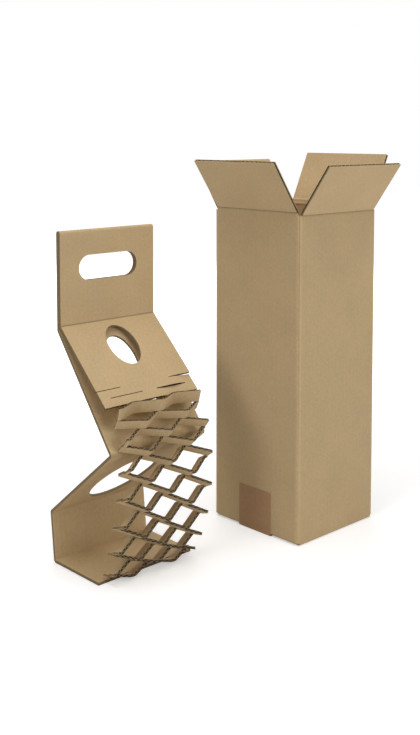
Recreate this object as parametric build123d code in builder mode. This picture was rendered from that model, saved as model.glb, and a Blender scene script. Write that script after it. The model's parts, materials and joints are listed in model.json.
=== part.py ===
from build123d import *
import os
from math import cos, radians, sin

os.makedirs("parts", exist_ok=True)

# Corrugated board, millimetres
board = 3.0
liner = 0.4
medium = 0.6
flute_pitch = 6.4
flute_crest = 0.7
fold_bend = 0.5

# Carton, outside sizes: side walls face X, end walls face Y
carton_width = 132.0
carton_depth = 132.0
carton_height = 366.0
flap_gap = 1.0
slot_clearance = 1.0
crease_gap = 0.3
layer_gap = 0.2
bottom_edge_share = 0.65
glue_lap_width = 30.0
glue_lap_inset = 15.0

# Top flaps, degrees that each leans out from upright
front_tilt = 34.5
back_tilt = 25.0
right_tilt = 35.5
left_tilt = 34.5

# Tape along the bottom seam and up the end walls
tape_width = 50.0
tape_rise = 50.0
tape_thickness = 0.2

# Bottle that the holder carries, with room around it
bottle_body = 74.0
bottle_neck = 37.0
bottle_shoulder = 185.0
bottle_collar = 212.0
bottle_top = 300.0
bottle_play = 0.5

# Holder, a folded sheet that stands beside the carton
holder_clearance = 0.5
holder_spacing = 93.0
holder_back = -85.0
back_height = 55.0
back_lean = 6.0
saddle_length = 133.0
saddle_slope = 39.0
handle_reach = 10.6
handle_crease = 255.6
handle_height = 98.8
ply_gap = 0.4
shoulder_drop = 5.6
hand_slot_length = 77.0
hand_slot_height = 26.6
hand_slot_drop = 40.5
neck_length = 103.2
neck_slope = 43.6

# Slits and the lattice that they open into
strip_width = 10.0
slit_width = 0.8
edge_slit = 30.0
inner_slit = 41.0
inner_slit_gap = 18.0
lattice_draw_in = 8.0
lattice_rows = 14
half_cells = 4
bond_length = 5.0
bond_overlap = 0.8
seat_gap = 0.2
foot_gap = 0.7
top_pull = 58.2
top_slope = 44.3
foot_pull = 38.2
foot_slope = 58.6
top_rise = 82.0
foot_rise = 13.0
rise_fade = 3
sag = 0.115
sag_height = 0.4

# Sizes that follow
inner_width = carton_width - 2 * board
inner_depth = carton_depth - 2 * board
end_flap_width = inner_width - 2 * slot_clearance
side_flap_width = inner_depth - 2 * slot_clearance
end_flap_length = (carton_depth - flap_gap) / 2
side_flap_length = (carton_width - flap_gap) / 2
end_crease = carton_height + board + layer_gap
holder_width = inner_depth - 2 * holder_clearance
holder_middle = -(carton_depth / 2 + holder_spacing + holder_width / 2)
bottle_axis = board + bottle_play + bottle_body / 2
base_depth = bottle_axis + bottle_body / 2 + bottle_play
bottom_edge_radius = bottom_edge_share * board
through_cut = 4 * board


def holder_plane(across, height, slope):
    """Plane on the holder's mid-plane: x along its width, y along a panel that climbs at slope degrees."""
    climb = Vector(cos(radians(slope)), 0, sin(radians(slope)))
    origin = Vector(holder_back + across, holder_middle, height)
    return Plane(origin, x_dir=Vector(0, 1, 0), z_dir=Vector(0, 1, 0).cross(climb))


# Carton body: four walls, the closed bottom flaps and the glue lap
with BuildPart() as carton_body:
    with BuildSketch(Plane.XY.offset(board)):
        RectangleRounded(carton_width, carton_depth, board + fold_bend)
        RectangleRounded(inner_width, inner_depth, fold_bend, mode=Mode.SUBTRACT)
    extrude(amount=carton_height - board)
    # Outer bottom flaps meet along the seam under the tape
    with BuildSketch(Plane.XY):
        with GridLocations(side_flap_length + flap_gap, 1, 2, 1):
            Rectangle(side_flap_length, side_flap_width)
    extrude(amount=board)
    bottom_folds = carton_body.edges().filter_by(Axis.Y).group_by(Axis.Z)[0].sort_by(Axis.X)
    fillet([bottom_folds[0], bottom_folds[-1]], radius=bottom_edge_radius)
    # Inner bottom flaps lie on them, turned by a quarter
    with BuildSketch(Plane.XY.offset(board)):
        with GridLocations(1, end_flap_length + flap_gap, 1, 2):
            Rectangle(end_flap_width, end_flap_length)
    extrude(amount=board)
    # Side walls are mitred inward from their crease, where the flap folds in
    with BuildSketch(Plane.XZ):
        with BuildLine():
            Polyline(
                (carton_width / 2, carton_height),
                (inner_width / 2, carton_height),
                (inner_width / 2, carton_height - board),
                close=True,
            )
        make_face()
        mirror(about=Plane.YZ)
    extrude(amount=side_flap_width / 2, both=True, mode=Mode.SUBTRACT)
    # End walls rise one board higher, so that their flaps close over the side flaps
    with BuildSketch(Plane.YZ):
        with BuildLine():
            Polyline(
                (carton_depth / 2, carton_height),
                (carton_depth / 2, end_crease),
                (inner_depth / 2, end_crease - board),
                (inner_depth / 2, carton_height),
                close=True,
            )
        make_face()
        mirror(about=Plane.YZ)
    extrude(amount=end_flap_width / 2, both=True)
    # Glue lap inside the left wall
    lap_foot = 2 * board + glue_lap_inset
    with BuildSketch(Plane.XY.offset(lap_foot)):
        with Locations((-inner_width / 2 + board / 2, inner_depth / 2 - glue_lap_width / 2)):
            Rectangle(board, glue_lap_width)
    extrude(amount=carton_height - glue_lap_inset - lap_foot)
    # The tape is pressed into the underside
    with BuildSketch(Plane.XY):
        Rectangle(tape_width, carton_depth)
    extrude(amount=tape_thickness, mode=Mode.SUBTRACT)
carton_body.part.label = "carton_body"
export_step(carton_body.part, "parts/carton_body.step")

# Top flaps: name, outward direction, middle of the crease, width, length, lean
right_crease = Vector(carton_width / 2, 0, carton_height)
left_crease = Vector(-carton_width / 2, 0, carton_height)
front_crease = Vector(0, -carton_depth / 2, end_crease)
back_crease = Vector(0, carton_depth / 2, end_crease)
top_flaps = (
    ("end_flap_front", Vector(0, -1, 0), front_crease, end_flap_width, end_flap_length, front_tilt),
    ("end_flap_back", Vector(0, 1, 0), back_crease, end_flap_width, end_flap_length, back_tilt),
    ("side_flap_right", Vector(1, 0, 0), right_crease, side_flap_width, side_flap_length, right_tilt),
    ("side_flap_left", Vector(-1, 0, 0), left_crease, side_flap_width, side_flap_length, left_tilt),
)
up = Vector(0, 0, 1)
flute_half_foot = flute_pitch / 2 - medium - flute_crest / 2
for name, outward, hinge, width, length, tilt in top_flaps:
    lean = outward * sin(radians(tilt)) + up * cos(radians(tilt))
    inward = up * sin(radians(tilt)) - outward * cos(radians(tilt))
    along_crease = lean.cross(inward)
    with BuildPart() as flap:
        # The foot is mitred, so that the flap can fold in over its wall
        with BuildSketch(Plane(hinge, x_dir=lean, z_dir=along_crease)):
            with BuildLine():
                Polyline(
                    (crease_gap, 0),
                    (length, 0),
                    (length, board),
                    (crease_gap + board, board),
                    close=True,
                )
            make_face()
        extrude(amount=width / 2, both=True)
        # Flutes run from the free edge towards the crease, open to both liners in turn
        flute_count = int((width - flute_pitch) / flute_pitch)
        with BuildSketch(Plane(hinge + lean * length, x_dir=along_crease, z_dir=lean)):
            for shift, foot, crest in (
                (-flute_pitch / 4, -liner, -(board - liner - medium)),
                (flute_pitch / 4, -(board - liner), -(liner + medium)),
            ):
                with Locations((shift, 0)):
                    with GridLocations(flute_pitch, 1, flute_count, 1):
                        Polygon(
                            (-flute_half_foot, foot),
                            (flute_half_foot, foot),
                            (flute_crest / 2, crest),
                            (-flute_crest / 2, crest),
                            align=None,
                        )
        extrude(amount=-(length - crease_gap - 2 * board), mode=Mode.SUBTRACT)
    flap.part.label = name
    export_step(flap.part, f"parts/{name}.step")

# Bottom tape: a flat U around the underside
with BuildPart() as bottom_tape:
    with BuildSketch(Plane.YZ):
        with BuildLine():
            Polyline(
                (-carton_depth / 2, tape_rise),
                (-carton_depth / 2, tape_thickness),
                (carton_depth / 2, tape_thickness),
                (carton_depth / 2, tape_rise),
                (carton_depth / 2 + tape_thickness, tape_rise),
                (carton_depth / 2 + tape_thickness, 0),
                (-carton_depth / 2 - tape_thickness, 0),
                (-carton_depth / 2 - tape_thickness, tape_rise),
                close=True,
            )
        make_face()
    extrude(amount=tape_width / 2, both=True)
bottom_tape.part.label = "bottom_tape"
export_step(bottom_tape.part, "parts/bottom_tape.step")

# Holder sheet: the line of its outer face, from the base's front edge to the neck panel's front edge
outer_bend = board + fold_bend
back_top = Vector(-back_height * sin(radians(back_lean)), back_height * cos(radians(back_lean)))
saddle_top = back_top + Vector(cos(radians(saddle_slope)), sin(radians(saddle_slope))) * saddle_length
handle_front = handle_reach + 2 * board + ply_gap
handle_top = handle_crease + handle_height
neck_direction = Vector(cos(radians(neck_slope)), -sin(radians(neck_slope)))
neck_end = Vector(handle_front, handle_crease) + neck_direction * neck_length
handle_bend = (2 * board + ply_gap) / 2 - ply_gap / 4
sheet_plane = Plane((holder_back, holder_middle, 0), x_dir=(1, 0, 0), z_dir=(0, -1, 0))
with BuildPart() as holder_sheet:
    with BuildSketch(sheet_plane):
        with BuildLine():
            outer_face = FilletPolyline(
                (base_depth, 0),
                (0, 0),
                back_top,
                saddle_top,
                (handle_reach, handle_crease - shoulder_drop),
                (handle_reach, handle_top),
                (handle_front, handle_top),
                (handle_front, handle_crease),
                neck_end,
                radius=(outer_bend, outer_bend, fold_bend, outer_bend, handle_bend, handle_bend, fold_bend),
            )
            offset(outer_face, amount=board, side=Side.RIGHT)
        make_face()
    extrude(amount=holder_width / 2, both=True)
    # Hand slot through both plies of the handle
    with BuildSketch(holder_plane(handle_reach, handle_top - hand_slot_drop, 90)):
        SlotOverall(hand_slot_length, hand_slot_height)
    extrude(amount=through_cut, both=True, mode=Mode.SUBTRACT)
    # Room for the bottle through the saddle, shoulder and neck panels
    bottle_foot = Vector(holder_back + bottle_axis, holder_middle, 0)
    with BuildSketch(Plane(bottle_foot, x_dir=(1, 0, 0), z_dir=(0, -1, 0))):
        with BuildLine():
            Polyline(
                (0, board),
                (bottle_body / 2, board),
                (bottle_body / 2, bottle_shoulder),
                (bottle_neck / 2, bottle_collar),
                (bottle_neck / 2, bottle_top),
                (0, bottle_top),
                close=True,
            )
        make_face()
    revolve(axis=Axis(bottle_foot, (0, 0, 1)), mode=Mode.SUBTRACT)
    # First two rows of slits, still closed, at the neck panel's front edge
    with BuildSketch(holder_plane(neck_end.X, neck_end.Y, -neck_slope)):
        with Locations((0, -2 * strip_width)):
            with GridLocations(holder_width - edge_slit, 1, 2, 1):
                Rectangle(edge_slit, slit_width)
        with Locations((0, -strip_width)):
            with GridLocations(inner_slit + inner_slit_gap, 1, 2, 1):
                Rectangle(inner_slit, slit_width)
    extrude(amount=through_cut, both=True, mode=Mode.SUBTRACT)
holder_sheet.part.label = "holder_sheet"
export_step(holder_sheet.part, "parts/holder_sheet.step")

# Holder lattice: rows of bonds along a bulging curve from the neck panel's front edge to the base
neck_normal = Vector(sin(radians(neck_slope)), cos(radians(neck_slope)))
curve_start = neck_end - neck_normal * (board / 2) + neck_direction * (board / 2 + seat_gap)
curve_end = Vector(base_depth + board / 2 + foot_gap, board / 2 + seat_gap)
start_pull = Vector(cos(radians(top_slope)), -sin(radians(top_slope))) * top_pull
end_pull = Vector(cos(radians(foot_slope)), sin(radians(foot_slope))) * foot_pull
lattice_width = holder_width - 2 * lattice_draw_in
half_cell = lattice_width / half_cells


def row_point(row):
    """Bond row's place on the curve, rows spread evenly over the curve's parameter."""
    t = row / lattice_rows
    a = curve_start * (1 - t) ** 3
    b = (curve_start + start_pull) * (3 * t * (1 - t) ** 2)
    c = (curve_end + end_pull) * (3 * t**2 * (1 - t))
    return a + b + c + curve_end * t**3


def sideways_sag(row):
    """Share by which a strip hangs lower on one side: nothing at the two seats, most at the sag height."""
    t = (row + 0.5) / lattice_rows
    return sag * (t / (1 - sag_height)) ** 3 * ((1 - t) / sag_height) ** 2


def zigzag(row, rise):
    """Lower face of a strip: straight down from each upper bond to the next lower one, then back up.

    Bonds lie along the downward run, except on the seats at the lattice's two ends, where they are level.
    """
    points = []
    for bond in range(half_cells + 1):
        at_foot = (bond + row) % 2 == 0
        bond_row = row + 1 if at_foot else row
        seated = bond_row in (0, lattice_rows)
        tip = 0 if seated else rise / half_cell * bond_length / 2
        level = (rise if at_foot else 0) - board / 2
        middle = bond * half_cell - lattice_width / 2
        if bond > 0:
            points.append((middle - bond_length / 2, level - tip))
        if bond in (0, half_cells):
            points.append((middle, level))
        if bond < half_cells:
            points.append((middle + bond_length / 2, level + tip))
    return [(place, level + sideways_sag(row) * place) for place, level in points]


with BuildPart() as holder_lattice:
    for row in range(lattice_rows):
        upper = row_point(row)
        step = row_point(row + 1) - upper
        # The strips' broad sides stand nearly upright at the top and lie flatter towards the foot
        climb = foot_rise + (top_rise - foot_rise) * (1 - (row + 0.5) / lattice_rows) ** rise_fade
        broad = Vector(cos(radians(climb)), sin(radians(climb)))
        drop = step + broad * strip_width
        inner_edge = upper - broad * (strip_width + bond_overlap)
        strip_plane = Plane(
            (holder_back + inner_edge.X, holder_middle, inner_edge.Y),
            x_dir=(0, 1, 0),
            z_dir=(drop.Y, 0, -drop.X),
        )
        with BuildSketch(strip_plane):
            with BuildLine():
                lower_face = Polyline(*zigzag(row, drop.length))
                offset(lower_face, amount=board, side=Side.LEFT, kind=Kind.INTERSECTION)
            make_face()
        extrude(amount=strip_width + 2 * bond_overlap, dir=(broad.X, 0, broad.Y))
holder_lattice.part.label = "holder_lattice"
export_step(holder_lattice.part, "parts/holder_lattice.step")
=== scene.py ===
# %% [markdown]
# Bottle shipping box
#
# A tall corrugated carton stands open beside the folded holder that goes inside it. The packed
# solids give every size and place, and this lesson dresses them. The carton body and its tape keep
# their solids. The flaps, the holder's sheet and the lattice are made again as real corrugated
# board, with two liners and a wavy medium between them.

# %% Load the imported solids
import json
import bmesh
import bpy
import numpy as np
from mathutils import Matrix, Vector


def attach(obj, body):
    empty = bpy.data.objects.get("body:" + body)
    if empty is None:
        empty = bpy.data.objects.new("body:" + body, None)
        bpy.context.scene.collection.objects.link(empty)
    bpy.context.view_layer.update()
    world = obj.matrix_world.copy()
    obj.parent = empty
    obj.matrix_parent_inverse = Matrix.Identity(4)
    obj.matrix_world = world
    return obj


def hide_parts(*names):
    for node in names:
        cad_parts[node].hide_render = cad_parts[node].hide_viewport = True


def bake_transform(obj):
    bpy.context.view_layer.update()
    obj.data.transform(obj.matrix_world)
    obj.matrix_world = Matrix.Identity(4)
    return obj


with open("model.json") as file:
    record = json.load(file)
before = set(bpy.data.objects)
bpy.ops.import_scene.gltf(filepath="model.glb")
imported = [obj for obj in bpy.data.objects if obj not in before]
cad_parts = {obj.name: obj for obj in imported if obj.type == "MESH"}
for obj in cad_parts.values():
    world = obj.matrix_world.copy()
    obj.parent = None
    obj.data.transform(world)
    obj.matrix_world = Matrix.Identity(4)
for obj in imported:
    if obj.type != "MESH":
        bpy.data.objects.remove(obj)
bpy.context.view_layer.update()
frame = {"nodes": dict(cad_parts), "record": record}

print("solids:", sorted(frame["nodes"]))

# %% [markdown]
# Board made of layers
#
# Corrugated board is two flat liners and a wavy medium. Each layer is thin and has the same shape
# on both faces, so one helper can make them all: it takes two grids of points, the upper and the
# lower face, and closes them with walls. A modifier such as Solidify would do this for one sheet,
# but it can't leave out the slits or tell a cut edge from a fold.

# %% A closed slab between two grids
MM = 0.001


def slab(upper, lower, sheet, keep=None, wrap=False, go_on=(False, False)):
    """Closed layer between two grids of points, in millimetres.

    Cell (i, j) has the corners (i, j), (i+1, j), (i+1, j+1), (i, j+1). Kept cells get an upper and
    a lower face, and a wall stands on every edge between a kept cell and none. go_on says, for
    the first and the last row, where the board goes on in another slab.
    Returns points, corner numbers, sheet coordinates, and a kind for each face: 0 for an upper
    and 1 for a lower one, 2 for a wall along a row and 3 for a wall along a column.
    """
    rows, columns = upper.shape[:2]
    cells = (rows - 1, columns if wrap else columns - 1)
    keep = np.ones(cells, bool) if keep is None else keep
    number = np.arange(rows * columns).reshape(rows, columns)
    if wrap:
        number = np.concatenate([number, number[:, :1]], 1)
    corners = np.stack([number[:-1, :-1], number[1:, :-1], number[1:, 1:], number[:-1, 1:]], -1)[keep]
    above = np.vstack([keep[0] & go_on[0], keep])
    below = np.vstack([keep, keep[-1] & go_on[1]])
    along_row = np.stack([number[:, :-1], number[:, 1:]], -1)
    down_column = np.stack([number[:-1], number[1:]], -1)
    if wrap:
        before, after = np.roll(keep, 1, axis=1), keep
        down_column = down_column[:, :-1]
    else:
        none = np.zeros((cells[0], 1), bool)
        before, after = np.hstack([none, keep]), np.hstack([keep, none])
    row_edges = np.concatenate([along_row[above & ~below], along_row[below & ~above][:, ::-1]])
    column_edges = np.concatenate([down_column[after & ~before], down_column[before & ~after][:, ::-1]])
    edges = np.concatenate([row_edges, column_edges])
    shift = rows * columns
    walls = np.stack([edges[:, 1], edges[:, 0], edges[:, 0] + shift, edges[:, 1] + shift], -1)
    points = np.concatenate([upper.reshape(-1, 3), lower.reshape(-1, 3)])
    faces = np.concatenate([corners, corners[:, ::-1] + shift, walls])
    a, b, c, d = points[corners].transpose(1, 0, 2)
    up = points[corners[:, 0]] - points[corners[:, 0] + shift]
    if np.sum(np.cross(c - a, d - b) * up) < 0:
        faces = faces[:, ::-1]
    kind = np.repeat([0, 1, 2, 3], [len(corners), len(corners), len(row_edges), len(column_edges)])
    coordinates = np.concatenate([sheet.reshape(-1, 3), sheet.reshape(-1, 3) + (0, 0, 1)])
    return points, faces, coordinates, kind


# %% One mesh from many slabs
WELD, SMOOTH_ANGLE = 1e-6, 35


def make_piece(name, slabs, finishes, smooth_angle=SMOOTH_ANGLE):
    """Mesh object of all slabs, welded where they meet.

    Each slab comes with the numbers of the finishes of its four kinds of face. The attribute sheet
    keeps its coordinates, in metres.
    """
    first = np.cumsum([0] + [len(s[0]) for s, _ in slabs[:-1]])
    points = np.concatenate([s[0] for s, _ in slabs]) * MM
    faces = np.concatenate([s[1] + n for (s, _), n in zip(slabs, first)])
    sheet = np.concatenate([s[2] for s, _ in slabs]) * MM
    finish = np.concatenate([np.take(numbers, s[3]) for s, numbers in slabs])
    mesh = bpy.data.meshes.new(name)
    mesh.from_pydata(points.tolist(), [], faces.tolist())
    mesh.polygons.foreach_set("material_index", finish.astype(np.int32))
    attribute = mesh.attributes.new("sheet", "FLOAT_VECTOR", "POINT")
    attribute.data.foreach_set("vector", sheet.astype(np.float32).ravel())
    work = bmesh.new()
    work.from_mesh(mesh)
    bmesh.ops.remove_doubles(work, verts=work.verts, dist=WELD)
    work.to_mesh(mesh)
    work.free()
    mesh.shade_smooth()
    mesh.set_sharp_from_angle(angle=np.radians(smooth_angle))
    for material in finishes:
        mesh.materials.append(material)
    piece = bpy.data.objects.new(name, mesh)
    bpy.context.scene.collection.objects.link(piece)
    print(name, len(mesh.vertices), "points", len(mesh.polygons), "faces")
    return piece


# %% [markdown]
# Kraft paper
#
# The liners are unbleached kraft paper: a warm tan with cloudy patches, short fibres that lie
# mostly along the machine direction, a few dark specks, and the faint washboard of the flutes
# below, as a bump and as stripes of painted shade. All of it comes from noise on the board's own
# coordinates, so it stays with the board.
# A picture of cardboard would show its repeat on so many faces, and it wouldn't follow the folds.

# %% Node helpers
def add_node(tree, kind, **inputs):
    """Node of one kind in a tree, with values or links set on inputs by name, or by number as i0."""
    node = tree.nodes.new(kind)
    for key, value in inputs.items():
        by_number = key[1:].isdigit()
        socket = node.inputs[int(key[1:]) if by_number else key.replace("_", " ")]
        if isinstance(value, bpy.types.NodeSocket):
            tree.links.new(value, socket)
        else:
            socket.default_value = value
    return node


def maths(tree, operation, *values):
    """Math node of one operation on up to three values or sockets."""
    node = add_node(tree, "ShaderNodeMath", **{f"i{k}": v for k, v in enumerate(values)})
    node.operation = operation
    return node.outputs[0]


def bell(tree, value, middle, width):
    """One at the middle and next to nothing two widths away: exp(-((value - middle) / width)^2)."""
    arm = maths(tree, "DIVIDE", maths(tree, "SUBTRACT", value, middle), width)
    return maths(tree, "EXPONENT", maths(tree, "MULTIPLY", maths(tree, "MULTIPLY", arm, arm), -1.0))


def stretched_noise(tree, coordinates, scale, detail):
    """Noise whose cells are 1/scale metres long in each direction."""
    place = add_node(tree, "ShaderNodeMapping", Vector=coordinates, Scale=scale).outputs[0]
    return add_node(tree, "ShaderNodeTexNoise", Vector=place, Scale=1.0, Detail=detail).outputs[0]


# %% Dark lines, painted highlights and painted shade on the carton's folds, with places and widths in metres
WALL, SIDE_CREASE, END_CREASE = 66.0, 366.0, 369.2
FOLD_DARK, FOLD_DARK_TONE, FOLD_DARK_HEIGHTS = (0.001, 0.0004), -0.34, (0.08, 0.34)
# Paler sides of each upright fold: a painted highlight.
FOLD_HIGHLIGHT, FOLD_HIGHLIGHT_TONE = (0.003, 0.0013), 0.09
# Darker band at the top crease: painted shade.
TOP_SHADE, TOP_SHADE_TONE = (0.0, 0.0016), -0.22


def crease_lines_and_painted_light(tree, parts):
    """Change of tone on the carton, as a sum of bells.

    A dark line runs along each upright fold and fades downwards. The fold's two sides are paler, a
    painted highlight of the rounded fold, and the top crease is dark, painted shade along the crease.
    """
    x, y, z = maths(tree, "ABSOLUTE", parts[0]), maths(tree, "ABSOLUTE", parts[1]), parts[2]
    to_fold = maths(tree, "SUBTRACT", WALL * MM, maths(tree, "MINIMUM", x, y))
    rise = maths(tree, "MULTIPLY", maths(tree, "GREATER_THAN", y, x), (END_CREASE - SIDE_CREASE) * MM)
    to_crease = maths(tree, "SUBTRACT", maths(tree, "ADD", rise, SIDE_CREASE * MM), z)
    low, high = FOLD_DARK_HEIGHTS
    fade = {"From_Min": low, "From_Max": high, "To_Max": FOLD_DARK_TONE}
    dark = add_node(tree, "ShaderNodeMapRange", Value=z, **fade).outputs[0]
    mark = maths(tree, "MULTIPLY", bell(tree, to_fold, *FOLD_DARK), dark)
    mark = maths(tree, "MULTIPLY_ADD", bell(tree, to_fold, *FOLD_HIGHLIGHT), FOLD_HIGHLIGHT_TONE, mark)
    return maths(tree, "MULTIPLY_ADD", bell(tree, to_crease, *TOP_SHADE), TOP_SHADE_TONE, mark)


# %% Values of the kraft finish, with noise in cells per metre
FLUTE_PITCH = 6.4
CLOUD, GRAIN, FLECK = (24, 24, 24), (420, 420, 420), (700, 700, 700)
FIBRE_ON_SHEET, FIBRE_UPRIGHT = (1500, 260, 1500), (1500, 1500, 260)
CLOUD_SHARE, FIBRE_SHARE, GRAIN_SHARE, WASHBOARD_SHADE_SHARE = 0.2, 0.30, 0.30, 0.016
FLECK_FROM, FLECK_FULL, FLECK_COLOUR = 0.72, 0.8, (0.16, 0.09, 0.04, 1)
ROUGH, ROUGH_BY_FIBRE, SPECULAR = 0.68, 0.2, 0.25
BUMP_STRENGTH, BUMP_DEPTH, BUMP_BY_FLUTE, BUMP_BY_GRAIN = 0.35, 0.00012, 0.5, 0.6
print("flutes per metre:", 1 / (FLUTE_PITCH * MM))


# %% The kraft finish
def kraft(name, colour, on_sheet, washboard=0.5, speck=0.35, tone_and_painted_light=None):
    """Kraft paper: colour times one plus cloud, fibre and flute terms, with specks and a fine bump. The
    flute term is painted shade of the washboard, which the bump also draws.

    The flutes run along sheet y, or upright on the carton, where x plus y is the way along a wall.
    The function tone_and_painted_light gives a change of tone for the place's parts: painted shade,
    a painted highlight, and on the carton a dark line along each upright fold.
    """
    material = bpy.data.materials.new(name)
    material.use_nodes = True
    tree = material.node_tree
    shader = tree.nodes["Principled BSDF"]
    if on_sheet:
        source = add_node(tree, "ShaderNodeAttribute")
        source.attribute_name = "sheet"
        place = source.outputs["Vector"]
    else:
        place = add_node(tree, "ShaderNodeTexCoord").outputs["Object"]
    parts = add_node(tree, "ShaderNodeSeparateXYZ", Vector=place).outputs
    across = parts[0] if on_sheet else maths(tree, "ADD", parts[0], parts[1])
    cloud = stretched_noise(tree, place, CLOUD, 3.0)
    fibre = stretched_noise(tree, place, FIBRE_ON_SHEET if on_sheet else FIBRE_UPRIGHT, 4.0)
    grain = stretched_noise(tree, place, GRAIN, 5.0)
    wave = maths(tree, "SINE", maths(tree, "MULTIPLY", across, 2 * np.pi / (FLUTE_PITCH * MM)))
    # Faint stripes at the flute pitch: painted shade of the washboard ridges.
    tone = maths(tree, "MULTIPLY_ADD", wave, WASHBOARD_SHADE_SHARE * washboard, 1.0)
    for noise, share in ((cloud, CLOUD_SHARE), (fibre, FIBRE_SHARE), (grain, GRAIN_SHARE)):
        tone = maths(tree, "MULTIPLY_ADD", maths(tree, "SUBTRACT", noise, 0.5), share, tone)
    if tone_and_painted_light:
        tone = maths(tree, "ADD", tone, tone_and_painted_light(tree, parts))
    paper = add_node(tree, "ShaderNodeVectorMath", i0=colour)
    paper.operation = "SCALE"
    tree.links.new(tone, paper.inputs["Scale"])
    limits = {"From_Min": FLECK_FROM, "From_Max": FLECK_FULL, "To_Max": speck}
    flecks = stretched_noise(tree, place, FLECK, 1.0)
    spots = add_node(tree, "ShaderNodeMapRange", Value=flecks, **limits)
    mixed = add_node(tree, "ShaderNodeMix")
    mixed.data_type = "RGBA"
    tree.links.new(spots.outputs[0], mixed.inputs["Factor"])
    tree.links.new(paper.outputs[0], mixed.inputs[6])
    mixed.inputs[7].default_value = FLECK_COLOUR
    tree.links.new(mixed.outputs[2], shader.inputs["Base Color"])
    rough = maths(tree, "MULTIPLY_ADD", fibre, ROUGH_BY_FIBRE, ROUGH)
    tree.links.new(rough, shader.inputs["Roughness"])
    shader.inputs["Specular IOR Level"].default_value = SPECULAR
    pores = maths(tree, "MULTIPLY", grain, BUMP_BY_GRAIN)
    relief = maths(tree, "MULTIPLY_ADD", wave, BUMP_BY_FLUTE * washboard, pores)
    depth = {"Strength": BUMP_STRENGTH, "Distance": BUMP_DEPTH}
    bump = add_node(tree, "ShaderNodeBump", Height=relief, **depth)
    tree.links.new(bump.outputs[0], shader.inputs["Normal"])
    return material


# %% Papers of the liners and the edges: painted light on the flaps, painted shade on the edges and in the hollows
KRAFT, LIT_FLAP_KRAFT = (0.545, 0.395, 0.215), (0.59, 0.43, 0.24)
CUT_EDGE_BROWN_AND_SHADE, HOLLOW_SHADE_BROWN, CLOSED_EDGE_BROWN_AND_SHADE = (0.13, 0.09, 0.05), (0.02, 0.014, 0.008), (0.22, 0.155, 0.082)
kraft_sheet = kraft("kraft_liner", KRAFT, on_sheet=True)
# Paler paper for the flaps is painted light: they are the same board as the walls, and the paler tone stands
# for the stronger light on the open flaps.
flap_kraft_lit = kraft("flap_liner_painted_light", LIT_FLAP_KRAFT, on_sheet=True)
kraft_wall = kraft("kraft_carton", KRAFT, on_sheet=False, tone_and_painted_light=crease_lines_and_painted_light)
# The cut edges' dark brown is partly the cut paper's own tone and partly painted shade.
cut_paper_and_shade = kraft("kraft_cut_paper_and_shade", CUT_EDGE_BROWN_AND_SHADE, on_sheet=True, washboard=0.0)
# Near-black paper for the faces inside the board and for the dark core: painted shade of the flute hollows.
flute_painted_shade = kraft("kraft_flute_painted_shade", HOLLOW_SHADE_BROWN, on_sheet=True, washboard=0.0)
# The closed edges' brown is partly the paper's own tone and partly painted shade of the flutes at the edge.
closed_paper_and_shade = kraft("kraft_closed_paper_and_shade", CLOSED_EDGE_BROWN_AND_SHADE, on_sheet=True, washboard=0.0)
EDGES = (cut_paper_and_shade, flute_painted_shade, closed_paper_and_shade)
print("finishes:", [m.name for m in bpy.data.materials])

# %% [markdown]
# Paper tape
#
# The bottom seam is closed with gummed paper tape, redder and a little smoother than the board.
# A new strip could be laid over the carton, but the solid already lies in its recess and has the
# right form, so it only needs a finish. The same holds for the carton's body.

# %% Carton body and tape
TAPE_BROWN = (0.42, 0.25, 0.132)
tape_finish = kraft("paper_tape", TAPE_BROWN, on_sheet=False, washboard=0.3, speck=0.2)
for node, material in (("carton_body", kraft_wall), ("bottom_tape", tape_finish)):
    frame["nodes"][node].data.materials.clear()
    frame["nodes"][node].data.materials.append(material)

# %% [markdown]
# Layers of the board
#
# The board is 3 mm thick. A layer is given by two depths below the outer face, and the medium
# is a sine across the flutes. On the lattice and at the flaps' free edges the cut goes across the
# flutes. There the liners are brown, and the wave shows as a paler line in front of dark hollows,
# which are painted shade: the faces inside the board are near black. A bump could draw that wave,
# but it would be missing from the mesh. A dark core closes each hollow a little behind the cut, so
# that no light comes through the board: a sheet of painted shade where the board is open.

# %% Board values and the wave of the medium
BOARD, LINER, MEDIUM = 3.0, 0.4, 0.5
CREST = BOARD / 2 - LINER - MEDIUM / 2
BACK_SET, CORE_SET, CORE_GAP = 0.25, 0.8, 0.02
CORE = (LINER + CORE_GAP, BOARD - LINER - CORE_GAP)
# Finish 2, on the liners' inner faces and on the faces of the medium and the core, is the near-black painted
# shade of the hollows.
LINERS = (((0.0, LINER), (0, 2)), ((BOARD - LINER, BOARD), (2, 0)))
WAVE_FINISH, CORE_FINISH, CLOSED_FINISH = (2, 2, 0, 0), (2, 2, 2, 1), (2, 2, 3, 3)
print("wave rises, mm:", CREST)


def medium_depths(across):
    """Depths of the medium's faces: the middle plus CREST times a sine, half its thickness each way."""
    middle = BOARD / 2 + CREST * np.sin(2 * np.pi * across / FLUTE_PITCH)
    return middle - MEDIUM / 2, middle + MEDIUM / 2


# %% [markdown]
# Top flaps
#
# Four flaps stand open on the carton. A flap is flat board with its foot cut back at 45 degrees,
# where the crease is. The solids could stay, but their plain edges would show no flutes. A flap's
# place is a function of two distances, along the crease and away from it, and of the depth in the
# board, so each layer is one slab. The flutes run away from the crease.

# %% Values of the flaps
FLAP_WIDTH, FLAP_LENGTH, CREASE_GAP, SIDE_PLAY = 124.0, 65.5, 0.3, 0.1
WAVE_LINES, PLAIN_LINES, LENGTH_LINES = 249, 9, 5
FLAPS = (
    ("end_flap_front", (0, -1, 0), END_CREASE, 34.5),
    ("end_flap_back", (0, 1, 0), END_CREASE, 25.0),
    ("side_flap_right", (1, 0, 0), SIDE_CREASE, 35.5),
    ("side_flap_left", (-1, 0, 0), SIDE_CREASE, 34.5),
)
body_of_node = {n: b for b, members in frame["record"]["behaviour"]["bodies"].items() for n in members}


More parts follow.
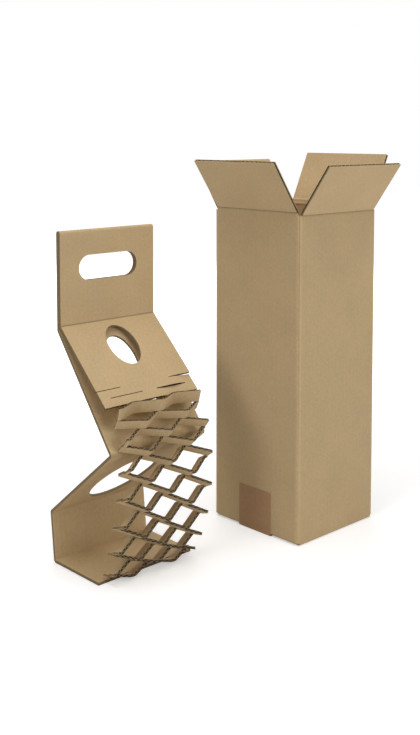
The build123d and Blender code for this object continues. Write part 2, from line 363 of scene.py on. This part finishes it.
def flap_frame(outward, crease, lean):
    """Crease middle, and the directions along the crease, away from it, and into the board."""
    outward, up = np.array(outward, float), np.array((0.0, 0.0, 1.0))
    away = outward * np.sin(np.radians(lean)) + up * np.cos(np.radians(lean))
    inward = up * np.sin(np.radians(lean)) - outward * np.cos(np.radians(lean))
    return outward * WALL + up * crease, np.cross(away, inward), away, inward


# %% The flaps
def flap_slabs(outward, crease, lean):
    """Layers of one flap: crease middle + across * a + away * s + inward * depth."""
    middle, along, away, inward = flap_frame(outward, crease, lean)
    made = []
    half = FLAP_WIDTH / 2 - SIDE_PLAY
    fine, wide = np.linspace(-half, half, WAVE_LINES), np.linspace(-half, half, PLAIN_LINES)
    layers = [(depths, wide, 0.0, (*numbers, 0, 3)) for depths, numbers in LINERS]
    layers.append((medium_depths(fine), fine, BACK_SET, WAVE_FINISH))
    layers.append((CORE, wide * (1 - CORE_SET / half), CORE_SET, CORE_FINISH))
    for (first, last), across, inset, numbers in layers:
        end = FLAP_LENGTH - inset
        share = np.linspace(0, 1, LENGTH_LINES)[:, None]
        faces = []
        for depth in (first, last):
            depth = np.broadcast_to(depth, across.shape)[None, :]
            away_by = CREASE_GAP + depth + share * (end - CREASE_GAP - depth)
            foot = middle + across[None, :, None] * along
            faces.append(foot + away_by[..., None] * away + depth[..., None] * inward)
        sheet = np.stack(np.broadcast_arrays(across[None, :], share * FLAP_LENGTH, np.mean(first)), -1)
        made.append((slab(*faces, sheet), numbers))
    return made


for name, outward, crease, lean in FLAPS:
    flap = make_piece("board_" + name, flap_slabs(outward, crease, lean), (flap_kraft_lit, *EDGES))
    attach(flap, body_of_node[name])
    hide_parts(name)

# %% [markdown]
# Crease skins
#
# Inside the carton the liner goes on unbroken from the wall to the flap. The solids leave a groove
# there, so that the flaps can fold in. A thin skin spans the groove. It is made for the open flaps
# and is fixed in place: it isn't tied to the wall or the flap, so it doesn't follow a flap as it folds.

# %% The skins in the creases
SKIN_THICK, SKIN_DIP, SKIN_PLAY = 0.35, 1.7, 0.3
SKIN_INSET, SKIN_LAP, SKIN_WAY = 0.05, 0.6, 8.0
SKIN_LINES, SKIN_SMOOTH = 17, 60


def crease_skin(outward, crease, lean):
    """Skin from the wall's inner edge to the flap's: an arc about the hinge that dips in the middle."""
    middle, along, away, inward = flap_frame(outward, crease, lean)
    outward, up = np.array(outward, float), np.array((0.0, 0.0, 1.0))
    foot = -outward * (BOARD - SKIN_INSET) - up * (BOARD + SKIN_LAP)
    head = away * (CREASE_GAP + BOARD + SKIN_LAP) + inward * (BOARD - SKIN_INSET)
    angles = [np.arctan2(v @ up, -(v @ outward)) for v in (foot, head)]
    radii = [np.linalg.norm(v) for v in (foot, head)]
    share = np.linspace(0, 1, SKIN_LINES)
    angle = angles[0] + share * (angles[1] - angles[0])
    radius = radii[0] + share * (radii[1] - radii[0]) - SKIN_DIP * np.sin(np.pi * share) ** 2
    across = np.linspace(-FLAP_WIDTH / 2 + SKIN_PLAY, FLAP_WIDTH / 2 - SKIN_PLAY, PLAIN_LINES)
    faces = []
    for extra in (0.0, -SKIN_THICK):
        turn = (radius + extra)[:, None] * (np.sin(angle)[:, None] * up - np.cos(angle)[:, None] * outward)
        faces.append(middle + turn[:, None, :] + across[None, :, None] * along)
    sheet = np.stack(np.broadcast_arrays(across[None, :], share[:, None] * SKIN_WAY, 0.0), -1)
    return slab(*faces, sheet), middle + foot, middle + head


for name, outward, crease, lean in FLAPS:
    skin, start, end = crease_skin(outward, crease, lean)
    # The skins take the flaps' paler paper, which is painted light.
    piece = make_piece("crease_" + name, [(skin, (0, 0, 0, 0))], (flap_kraft_lit,), SKIN_SMOOTH)
    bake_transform(piece)

# %% [markdown]
# Holder sheet
#
# The holder is one sheet, folded along parallel creases. A plate for each panel would leave the
# bends open, so there is one profile that is carried across the width. The sheet is laid out flat
# first: a point of it has a distance s along the profile, a place y across, and a depth in the
# board. The fold then takes each point to its place.

# %% The folded profile
HOLDER_BACK, HOLDER_MIDDLE, HALF_WIDTH = -85.0, -221.5, 62.5
BASE_LENGTH, BACK_HEIGHT, BACK_LEAN = 78.0, 55.0, 6.0
SADDLE_LENGTH, SADDLE_SLOPE, NECK_LENGTH, NECK_SLOPE = 133.0, 39.0, 103.2, 43.6
HANDLE_REAR, HANDLE_FRONT, HANDLE_TOP, REAR_FOOT, FRONT_FOOT = 10.6, 17.0, 354.4, 250.0, 255.6
BENDS, BEND_STEPS = (3.5, 3.5, 0.5, 3.5, 3.1, 3.1, 0.5), 9


def direction(slope):
    """Unit direction (across, up) that climbs at a slope in degrees."""
    return np.stack([np.cos(np.radians(slope)), np.sin(np.radians(slope))], -1)


BACK_TOP = BACK_HEIGHT * direction(90 + BACK_LEAN)
SADDLE_TOP = BACK_TOP + SADDLE_LENGTH * direction(SADDLE_SLOPE)
REAR_PLY_ENDS = [(HANDLE_REAR, REAR_FOOT), (HANDLE_REAR, HANDLE_TOP)]
FRONT_PLY_ENDS = [(HANDLE_FRONT, HANDLE_TOP), (HANDLE_FRONT, FRONT_FOOT)]
NECK_END = np.array(FRONT_PLY_ENDS[1]) + NECK_LENGTH * direction(-NECK_SLOPE)
BASE_ENDS = [(BASE_LENGTH, 0), (0, 0)]
CORNERS = np.array([*BASE_ENDS, BACK_TOP, SADDLE_TOP, *REAR_PLY_ENDS, *FRONT_PLY_ENDS, NECK_END])


def rounded_profile(corners, radii, steps):
    """Points, right-hand normals and distances of a line whose corners are arcs of the given radii.

    An arc starts radius * tan(half the turn) before its corner and turns evenly to the next direction.
    """
    run = np.diff(corners, axis=0)
    heading = np.unwrap(np.arctan2(run[:, 1], run[:, 0]))
    points, headings = [corners[:1]], [heading[:1]]
    for corner, radius, before, after in zip(corners[1:-1], radii, heading[:-1], heading[1:]):
        turn = after - before
        start = corner - radius * np.tan(abs(turn) / 2) * np.array((np.cos(before), np.sin(before)))
        middle = start + np.sign(turn) * radius * np.array((-np.sin(before), np.cos(before)))
        angle = before + turn * np.linspace(0, 1, steps)
        points.append(middle + np.sign(turn) * radius * np.stack([np.sin(angle), -np.cos(angle)], -1))
        headings.append(angle)
    points, headings = np.concatenate(points + [corners[-1:]]), np.concatenate(headings + [heading[-1:]])
    distance = np.concatenate([[0], np.cumsum(np.linalg.norm(np.diff(points, axis=0), axis=1))])
    return points, np.stack([np.sin(headings), -np.cos(headings)], -1), distance


profile, normals, distance = rounded_profile(CORNERS, BENDS, BEND_STEPS)
panels = [(distance[k * BEND_STEPS], distance[k * BEND_STEPS + 1]) for k in range(len(CORNERS) - 1)]
print("panels from and to, mm:", np.round(panels, 1).tolist())


def fold(s, y, depth):
    """Flat sheet to folded holder: the profile's point at s, moved along its normal by the depth."""
    s, y, depth = np.broadcast_arrays(s, y, depth)
    point, normal = (np.stack([np.interp(s, distance, v[:, k]) for k in (0, 1)]) for v in (profile, normals))
    x, z = point + depth * normal
    return np.stack([HOLDER_BACK + x, HOLDER_MIDDLE + y, z], -1)


# %% Paper of the holder, with painted shade along its folds
FOLD_SHADE_TONES = (-0.12, -0.12, -0.2, -0.12, 0.0, 0.0, -0.5)
FOLD_SHADE_WIDTH = 0.0007


def fold_painted_shade(tree, parts):
    """Painted shade on the holder: a dark bell along each fold, darkest at the one below the handle."""
    mark = 0.0
    for k, tone in enumerate(FOLD_SHADE_TONES):
        middle = (distance[k * BEND_STEPS + 1] + distance[(k + 1) * BEND_STEPS]) / 2
        mark = maths(tree, "MULTIPLY_ADD", bell(tree, parts[1], middle * MM, FOLD_SHADE_WIDTH), tone, mark)
    return mark


kraft_holder = kraft("kraft_holder_liner", KRAFT, on_sheet=True, tone_and_painted_light=fold_painted_shade)
print("folds marked:", np.count_nonzero(FOLD_SHADE_TONES))

# %% [markdown]
# Holes in the sheet
#
# What the holder carries stands upright in it, so its saddle, shoulder and neck panels are cut to
# that round outline, and the handle has a slot for the hand. Boolean cuts would do it, but they
# leave long thin faces. Here the flat sheet around a hole is a ring: one parameter runs round the
# panel's edge, and the other from the hole out to that edge.

# %% Outlines of the holes
LOAD_AXIS = 40.5
LOAD_HEIGHTS, LOAD_RADII = (0.0, 185.0, 212.0, 300.0), (37.0, 37.0, 18.5, 18.5)
SEARCH_POINTS, HOLE_POINTS, SLOT_POINTS, SLOT_SPACING = 4001, 400, 720, 0.2


def evenly(outline, spacing):
    """The closed outline again, with its points at even steps along it."""
    step = np.linalg.norm(np.diff(outline, axis=0, append=outline[:1]), axis=1)
    way = np.concatenate([[0], np.cumsum(step)])
    even = np.linspace(0, way[-1], int(way[-1] / spacing), endpoint=False)
    return np.stack([np.interp(even, way, np.append(outline[:, k], outline[0, k])) for k in (0, 1)], -1)


def load_hole(panel):
    """Points (s, y) where the load's round outline cuts a panel's middle.

    y is the root of the load's radius squared at that height less the distance from its axis squared.
    """
    s = np.linspace(*panel, SEARCH_POINTS)
    place = fold(s, 0.0, BOARD / 2)
    radius = np.interp(place[:, 2], LOAD_HEIGHTS, LOAD_RADII)
    room = radius**2 - (place[:, 0] - HOLDER_BACK - LOAD_AXIS) ** 2
    first, last = s[room > 0][[0, -1]]
    cut = (first + last) / 2 - (last - first) / 2 * np.cos(np.linspace(0, np.pi, HOLE_POINTS))
    half = np.sqrt(np.maximum(np.interp(cut, s, room), 0))
    return np.concatenate([np.stack([cut, half], -1), np.stack([cut[::-1], -half[::-1]], -1)[1:-1]])


def slot_hole(middle, length=77.0, height=26.6):
    """Points (s, y) of a slot with round ends about (middle, 0)."""
    turn = np.linspace(0, 2 * np.pi, SLOT_POINTS, endpoint=False)
    y = (length - height) / 2 * np.sign(np.cos(turn)) + height / 2 * np.cos(turn)
    return evenly(np.stack([middle + height / 2 * np.sin(turn), y], -1), SLOT_SPACING)


# %% Holes of the panels
HAND_SLOT_DROP = 40.5
STRIP, SLIT = 10.0, 0.8
BASE, BACK, SADDLE, SHOULDER, REAR_PLY, CROWN, FRONT_PLY, NECK = panels
sheet_end = NECK[1]
slits_start = sheet_end - 2 * STRIP - 2 * SLIT
hand_slots = (REAR_PLY[1] - HAND_SLOT_DROP + BENDS[4], FRONT_PLY[0] + HAND_SLOT_DROP - BENDS[5])
HOLED = (
    (SADDLE, load_hole(SADDLE)),
    (SHOULDER, load_hole(SHOULDER)),
    (REAR_PLY, slot_hole(hand_slots[0])),
    (FRONT_PLY, slot_hole(hand_slots[1])),
    ((NECK[0], slits_start), load_hole(NECK)),
)
print("holes from and to, mm:", [(round(h[:, 0].min(), 1), round(h[:, 0].max(), 1)) for _, h in HOLED])

# %% Rings round the holes
Y_LINES = np.linspace(-HALF_WIDTH, HALF_WIDTH, 126)
SIDE_LINES, RING_LINES = 61, 5


def hole_middle(hole):
    """Middle (s, y) of a hole between its first and last s."""
    return np.array(((hole[:, 0].min() + hole[:, 0].max()) / 2, 0.0))


def ring_grid(panel, hole):
    """Grid (s, y) from a hole out to the panel's edge, and where that edge is a seam and not a cut.

    Each line runs straight from the panel's edge towards the hole's middle, as far as the hole.
    """
    first, last = panel
    side = np.linspace(first, last, SIDE_LINES)
    start, end = np.full(len(Y_LINES) - 1, first), np.full(len(Y_LINES) - 1, last)
    s = np.concatenate([start, side[:-1], end, side[:0:-1]])
    rim_y = np.full(len(side) - 1, HALF_WIDTH)
    y = np.concatenate([Y_LINES[:-1], rim_y, Y_LINES[:0:-1], -rim_y])
    edge = np.stack([s, y], -1)
    middle = hole_middle(hole)
    arm, spoke = edge - middle, hole - middle
    spoke_angle = np.arctan2(spoke[:, 1], spoke[:, 0])
    angle = np.arctan2(arm[:, 1], arm[:, 0])
    radius = np.interp(angle, spoke_angle, np.hypot(*spoke.T), period=2 * np.pi)
    rim = middle + arm * (radius / np.hypot(*arm.T))[:, None]
    grid = rim + np.linspace(0, 1, RING_LINES)[:, None, None] * (edge - rim)
    return grid, s == np.roll(s, -1)


# %% Slits of the neck panel
SLIT_ENDS, DROOP, SLACK = (32.5, 9.5, 50.5), 3.0, 1.5


def droop(s, y):
    """How far the strips at the slits hang down on one side.

    The first strip has a smooth step up to DROOP beyond the edge slit's inner end. The second has a
    straight line to what the first has at the inner slit's far end, plus SLACK times half a sine.
    """
    edge, near, far = SLIT_ENDS
    t = np.clip((y - edge) / (HALF_WIDTH - edge), 0, 1)
    first = DROOP * t * t * (3 - 2 * t)
    t_far = (far - edge) / (HALF_WIDTH - edge)
    at_far = DROOP * t_far * t_far * (3 - 2 * t_far)
    along = np.clip((y - near) / (far - near), 0, 1)
    second = np.where(y < far, at_far * along + SLACK * np.sin(np.pi * along), first)
    behind_first, behind_second = (s > sheet_end - k * STRIP for k in (2, 1))
    return np.where(behind_second, second, np.where(behind_first, first, 0.0))


def slit_grid():
    """Grid of the neck panel's front edge, and the cells that are left when two rows of slits are cut."""
    row = [sheet_end - k * STRIP + half * SLIT / 2 for k in (2, 1) for half in (-1, 1)]
    s, y = np.meshgrid([slits_start, *row, sheet_end], Y_LINES, indexing="ij")
    keep = np.ones((5, len(Y_LINES) - 1), bool)
    middle = np.abs(Y_LINES[:-1] + Y_LINES[1:]) / 2
    keep[1] = middle < SLIT_ENDS[0]
    keep[3] = (middle < SLIT_ENDS[1]) | (middle > SLIT_ENDS[2])
    return s, y, keep


slit_s, slit_y, slit_keep = slit_grid()
print("slits from, mm:", np.round(slit_s[[1, 3], 0], 1).tolist())


# %% Liners of the holder
def sheet_slab(s, y, upper, lower, **options):
    """Slab of the folded sheet over a grid of flat places, between two depths."""
    flat = np.stack(np.broadcast_arrays(y, s, np.mean(upper)), -1)
    hang = droop(s, y)
    return slab(fold(s, y, upper + hang), fold(s, y, lower + hang), flat, **options)


liners = []
for depths, numbers in LINERS:
    patches = []
    for panel, hole in HOLED:
        grid, seam = ring_grid(panel, hole)
        ring = sheet_slab(grid[..., 0], grid[..., 1], *depths, wrap=True, go_on=(False, seam))
        liners.append((ring, (*numbers, 3, 3)))
    for panel, seams in ((BASE, (False, True)), (BACK, (True, True)), (CROWN, (True, True))):
        s, y = np.meshgrid(panel, Y_LINES, indexing="ij")
        patches.append(sheet_slab(s, y, *depths, go_on=seams))
    for k in range(len(BENDS)):
        bend = distance[k * BEND_STEPS + 1:(k + 1) * BEND_STEPS + 1]
        s, y = np.meshgrid(bend, Y_LINES, indexing="ij")
        patches.append(sheet_slab(s, y, *depths, go_on=(True, True)))
    patches.append(sheet_slab(slit_s, slit_y, *depths, keep=slit_keep, go_on=(True, False)))
    liners += [(patch, (*numbers, 1, 3)) for patch in patches]
print(len(liners), "liner patches")

# %% [markdown]
# Medium of the holder
#
# The wave between the liners only shows where the cut goes across the flutes. Filling the whole
# sheet with it would be hidden work, so it is made as bands at the front edges of the base and the
# neck panel. They read the wave from their place across the sheet, so they meet as one sheet would.
# Along the two sides and round the holes the press closes the edge, so there the core comes up to it.
# Its brown there is partly the paper's own tone and partly painted shade of the flutes.

# %% Helpers of the medium and the core
BAND, FINE, FLUSH = 8.0, 0.5, 0.05
HOLE_BAND, HOLE_SPACING = 5.0, 0.8


def medium_slab(s, y):
    """Slab of the wavy medium over a grid of flat places."""
    return sheet_slab(s, y, *medium_depths(y))


def core_slab(s, y, **options):
    """Slab of the core, a dark sheet of painted shade, over a grid of flat places."""
    return sheet_slab(s, y, *CORE, **options)


def hole_band(hole):
    """Grid (s, y) round a hole, from its edge outwards."""
    middle = hole_middle(hole)
    arm = evenly(hole, HOLE_SPACING) - middle
    reach = np.hypot(*arm.T)[:, None]
    out = np.array((FLUSH, HOLE_BAND))[:, None, None]
    return middle + arm / reach * (reach + out)


# %% The medium and the core along the cut edges
side_lines = np.array((HALF_WIDTH - BAND, HALF_WIDTH - FLUSH))
run_lines = np.unique(np.concatenate([distance[1:-1], [BACK_SET, sheet_end - BACK_SET], slit_s[1:3, 0]]))
side_keep = np.ones((len(run_lines) - 1, len(side_lines) - 1), bool)
side_keep[np.searchsorted(run_lines, slit_s[1, 0])] = False
closed = []
for sign in (-1, 1):
    s, y = np.meshgrid(run_lines, sign * side_lines, indexing="ij")
    closed.append(core_slab(s, y, keep=side_keep))
for _, hole in HOLED:
    band = hole_band(hole)
    closed.append(core_slab(band[..., 0], band[..., 1], wrap=True))
mediums, cores = [], []
front_lines = np.arange(-HALF_WIDTH + BAND, HALF_WIDTH - BAND + FINE / 2, FINE)
for make, made, inset in ((medium_slab, mediums, BACK_SET), (core_slab, cores, CORE_SET)):
    for first, last in ((inset, BAND), (sheet_end - BAND, sheet_end - inset)):
        s, y = np.meshgrid((first, last), front_lines, indexing="ij")
        made.append(make(s, y))
print(len(mediums), "bands of medium,", len(cores), "of core behind it and", len(closed), "closed edges")

# %% The holder's sheet
sheet_patches = liners + [(patch, WAVE_FINISH) for patch in mediums]
sheet_patches += [(patch, CORE_FINISH) for patch in cores]
sheet_patches += [(patch, CLOSED_FINISH) for patch in closed]
holder = make_piece("board_holder_sheet", sheet_patches, (kraft_holder, *EDGES))
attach(holder, "carton")
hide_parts("holder_sheet")

# %% [markdown]
# Lattice
#
# Rows of short slits let the sheet be pulled open like a net, which springs against the load. A flat
# net could be bent by modifiers, but its strips have to stand on edge more and more from row to row.
# Each strip between two rows of slits runs up to its upper bonds and down to its lower ones, so its
# middle line is a wave across the holder. The strip is that line carried along the strip's own
# broad direction. The slits cut across the flutes, so both long edges show the open wave.

# %% Values of the lattice
ROWS, HALF_CELLS, BOND, OVERLAP, SEAT, FOOT_GAP = 14, 4, 5.0, 0.8, 0.2, 0.7
TOP_LAP, DRAW_IN = 3.0, 8.0
TOP_PULL, TOP_SLOPE, FOOT_PULL, FOOT_SLOPE = 58.2, -44.3, 38.2, 58.6
STEEP, LEVEL = 82.0, 13.0
LATTICE_WIDTH = 2 * (HALF_WIDTH - DRAW_IN)
neck_out, neck_up = direction(-NECK_SLOPE), direction(90 - NECK_SLOPE)
row_start = NECK_END - neck_up * BOARD / 2 + neck_out * (BOARD / 2 + SEAT)
row_end = np.array((BASE_LENGTH + BOARD / 2 + FOOT_GAP, BOARD / 2 + SEAT))
top_pull, foot_pull = TOP_PULL * direction(TOP_SLOPE), FOOT_PULL * direction(FOOT_SLOPE)
PULLS = np.array((row_start, row_start + top_pull, row_end + foot_pull, row_end))


def row_points():
    """Places of the bond rows: a cubic curve through four pull points, at even steps of its parameter."""
    t = np.linspace(0, 1, ROWS + 1)[:, None]
    shares = (1 - t) ** 3, 3 * t * (1 - t) ** 2, 3 * t**2 * (1 - t), t**3
    return sum(share * pull for share, pull in zip(shares, PULLS))


rows = row_points()
broad = direction(LEVEL + (STEEP - LEVEL) * (1 - (np.arange(ROWS) + 0.5) / ROWS) ** 3)
drop = np.diff(rows, axis=0) + broad * STRIP
print("row heights, mm:", np.round(rows[:, 1], 1).tolist())

# %% The line of a strip
SAG, SAG_HEIGHT = 0.115, 0.4
LINE_SPACING, ROUNDING, ROUNDING_POINTS = 0.4, 4.0, 15


def sideways_sag(row):
    """Share by which a strip hangs lower on one side: SAG at the sag height and nothing at the seats."""
    t = (row + 0.5) / ROWS
    return SAG * (t / (1 - SAG_HEIGHT)) ** 3 * ((1 - t) / SAG_HEIGHT) ** 2


def strip_line(row):
    """Middle line of a strip across the holder, its normal in the strip's plane, and the way along it.

    A zigzag goes straight down from each upper bond to the next lower one and climbs back. Bonds lie
    along the way down, or level on the two seats. Its mean over a short stretch rounds the corners.
    """
    y = np.linspace(-LATTICE_WIDTH / 2, LATTICE_WIDTH / 2, int(LATTICE_WIDTH / LINE_SPACING))
    fall, half_cell = np.linalg.norm(drop[row]), LATTICE_WIDTH / HALF_CELLS
    bond = np.arange(HALF_CELLS + 1)
    at_foot = (bond + row) % 2 == 0
    slope = np.where(np.isin(row + at_foot, (0, ROWS)), 0.0, fall / half_cell)
    ends = np.array((-BOND / 2, BOND / 2))
    places = (bond * half_cell - LATTICE_WIDTH / 2)[:, None] + ends
    levels = (fall * at_foot)[:, None] + slope[:, None] * ends
    stretch = np.linspace(-ROUNDING / 2, ROUNDING / 2, ROUNDING_POINTS)
    level = np.interp(y[:, None] + stretch, places.ravel(), levels.ravel()).mean(axis=1)
    level += sideways_sag(row) * y
    tilt = np.gradient(level, y)
    way = np.concatenate([[0], np.cumsum(np.hypot(np.diff(y), np.diff(level)))])
    return np.stack([y, level], -1), np.stack([-tilt, np.ones_like(y)], -1) / np.hypot(1, tilt)[:, None], way


# %% The strips
STRIP_SHIFT = 37.0


def strip_slabs(row):
    """Layers of a strip: inner edge + drop * level + across * y + broad * w.

    Each layer is moved along the line's normal by its depth. The first strip laps up over the seat.
    """
    line, normal, way = strip_line(row)
    down, side = drop[row] / np.linalg.norm(drop[row]), broad[row]
    inner = rows[row] - side * (STRIP + OVERLAP) + (HOLDER_BACK, 0)
    made = []
    layers = [(depths, 0.0, (*numbers, 1, 0)) for depths, numbers in LINERS]
    layers.append((medium_depths(way), BACK_SET, WAVE_FINISH))
    layers.append((CORE, CORE_SET, (*CORE_FINISH[:3], 3)))
    lap = TOP_LAP if row == 0 else 0.0
    for (upper, lower), inset, numbers in layers:
        w = np.array((OVERLAP + inset, OVERLAP + STRIP + lap - inset))[:, None]
        faces = []
        for depth in (upper, lower):
            flat = line + normal * (np.broadcast_to(depth, way.shape) - BOARD / 2)[:, None]
            x = inner[0] + flat[:, 1] * down[0] + w * side[0]
            z = inner[1] + flat[:, 1] * down[1] + w * side[1]
            faces.append(np.stack(np.broadcast_arrays(x, HOLDER_MIDDLE + flat[:, 0], z), -1))
        sheet = np.stack(np.broadcast_arrays(way, w + STRIP_SHIFT * row, np.mean(upper)), -1)
        made.append((slab(*faces, sheet), numbers))
    return made


strips = [layer for row in range(ROWS) for layer in strip_slabs(row)]
lattice = make_piece("board_holder_lattice", strips, (kraft_sheet, *EDGES))
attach(lattice, "carton")
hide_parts("holder_lattice")

# %% [markdown]
# Floor and light
#
# The floor is a plain pale plane. It shows itself as white to the camera and keeps the soft shadow,
# because part of its brightness is its own. More lamp light would whiten it too, but it would bleach
# the board. A low lamp from the right gives the right wall its lighter tone, a wide one above lights
# what faces up, and dim ones in front and behind fill the other faces.

# %% Floor
FLOOR_HALF, FLOOR_DROP, FLOOR_GREY = 6.0, 0.0003, (0.8, 0.8, 0.8, 1)
GLOW_REACH = {"From_Min": 0.3, "From_Max": 1.0, "To_Min": 0.43, "To_Max": 1.0}


def seen_ray(tree):
    """One for the camera's rays and those that a gloss or a clear body sends on, else nought."""
    ray = add_node(tree, "ShaderNodeLightPath").outputs
    sent_on = maths(tree, "MAXIMUM", ray["Is Glossy Ray"], ray["Is Transmission Ray"])
    return maths(tree, "MAXIMUM", ray["Is Camera Ray"], sent_on)


def floor_finish():
    """Pale diffuse floor. The camera also sees light of its own, which grows to white far out."""
    material = bpy.data.materials.new("studio_floor")
    material.use_nodes = True
    tree = material.node_tree
    tree.nodes.clear()
    place = add_node(tree, "ShaderNodeTexCoord").outputs["Object"]
    far = add_node(tree, "ShaderNodeVectorMath", i0=place)
    far.operation = "LENGTH"
    glow = add_node(tree, "ShaderNodeMapRange", Value=far.outputs["Value"], **GLOW_REACH).outputs[0]
    own = add_node(tree, "ShaderNodeEmission", Strength=maths(tree, "MULTIPLY", seen_ray(tree), glow))
    pale = add_node(tree, "ShaderNodeBsdfDiffuse", Color=FLOOR_GREY)
    both = add_node(tree, "ShaderNodeAddShader", i0=own.outputs[0], i1=pale.outputs[0])
    add_node(tree, "ShaderNodeOutputMaterial", Surface=both.outputs[0])
    return material


corner = np.array([(-1, -1, 0), (1, -1, 0), (1, 1, 0), (-1, 1, 0)]) * FLOOR_HALF - (0, 0, FLOOR_DROP)
floor_mesh = bpy.data.meshes.new("floor")
floor_mesh.from_pydata(corner.tolist(), [], [(0, 1, 2, 3)])
floor_mesh.materials.append(floor_finish())
floor = bpy.data.objects.new("floor", floor_mesh)
bpy.context.scene.collection.objects.link(floor)
print("floor from and to, m:", corner.min(0).tolist(), corner.max(0).tolist())

# %% World and lamps
AMBIENT, WHITE = 0.05, (1, 1, 1, 1)
LAMPS = (
    ("key_right", (1.9, 0.3, 0.6), (0, -0.1, 0.2), 1.2, 13.6),
    ("top_soft", (0.1, -0.3, 2.2), (0, -0.1, 0.0), 2.0, 33.0),
    ("fill_front", (0.25, -1.75, 1.0), (0, -0.1, 0.3), 0.6, 8.4),
    ("fill_back", (-1.6, 1.4, 1.0), (0, -0.1, 0.2), 1.4, 18.0),
)
scene = bpy.context.scene
world = bpy.data.worlds.new("studio")
scene.world = world
world.use_nodes = True
tree = world.node_tree
strength = add_node(tree, "ShaderNodeMapRange", Value=seen_ray(tree), To_Min=AMBIENT, To_Max=1.0)
background = tree.nodes["Background"]
background.inputs["Color"].default_value = WHITE
tree.links.new(strength.outputs[0], background.inputs["Strength"])


def add_lamp(name, place, aim, size, power):
    """Square area lamp at a place, turned to its aim."""
    lamp = bpy.data.lights.new(name, "AREA")
    lamp.size, lamp.energy = size, power
    lamp_object = bpy.data.objects.new(name, lamp)
    lamp_object.location = place
    lamp_object.rotation_euler = (Vector(aim) - Vector(place)).to_track_quat("-Z", "Y").to_euler()
    scene.collection.objects.link(lamp_object)


for lamp in LAMPS:
    add_lamp(*lamp)
scene.view_settings.view_transform = "Standard"
print("lamps, W:", {name: power for name, _, _, _, power in LAMPS})

# %% [markdown]
# Camera
#
# The photograph looks down by little over four degrees, and its upright edges are nearly
# parallel. A camera that is tilted further would take in the floor too, but its upright edges would
# run together. So the camera is nearly level, and its frame is shifted down.

# %% Camera at the photograph's place
CAMERA_PLACE, CAMERA_DOWN, CAMERA_TURN = (0.7954, -0.88452, 0.45633), 4.3926, 46.756
LENS, SENSOR, SHIFT_DOWN = 49.96, 36.0, 0.2143
camera_data = bpy.data.cameras.new("camera")
camera_data.lens, camera_data.sensor_width = LENS, SENSOR
camera_data.shift_y = -SHIFT_DOWN
camera = bpy.data.objects.new("camera", camera_data)
camera.location = CAMERA_PLACE
camera.rotation_euler = (np.radians(90 - CAMERA_DOWN), 0, np.radians(CAMERA_TURN))
scene.collection.objects.link(camera)
scene.camera = camera
print("camera stands off, m:", round(camera.location.length, 3))
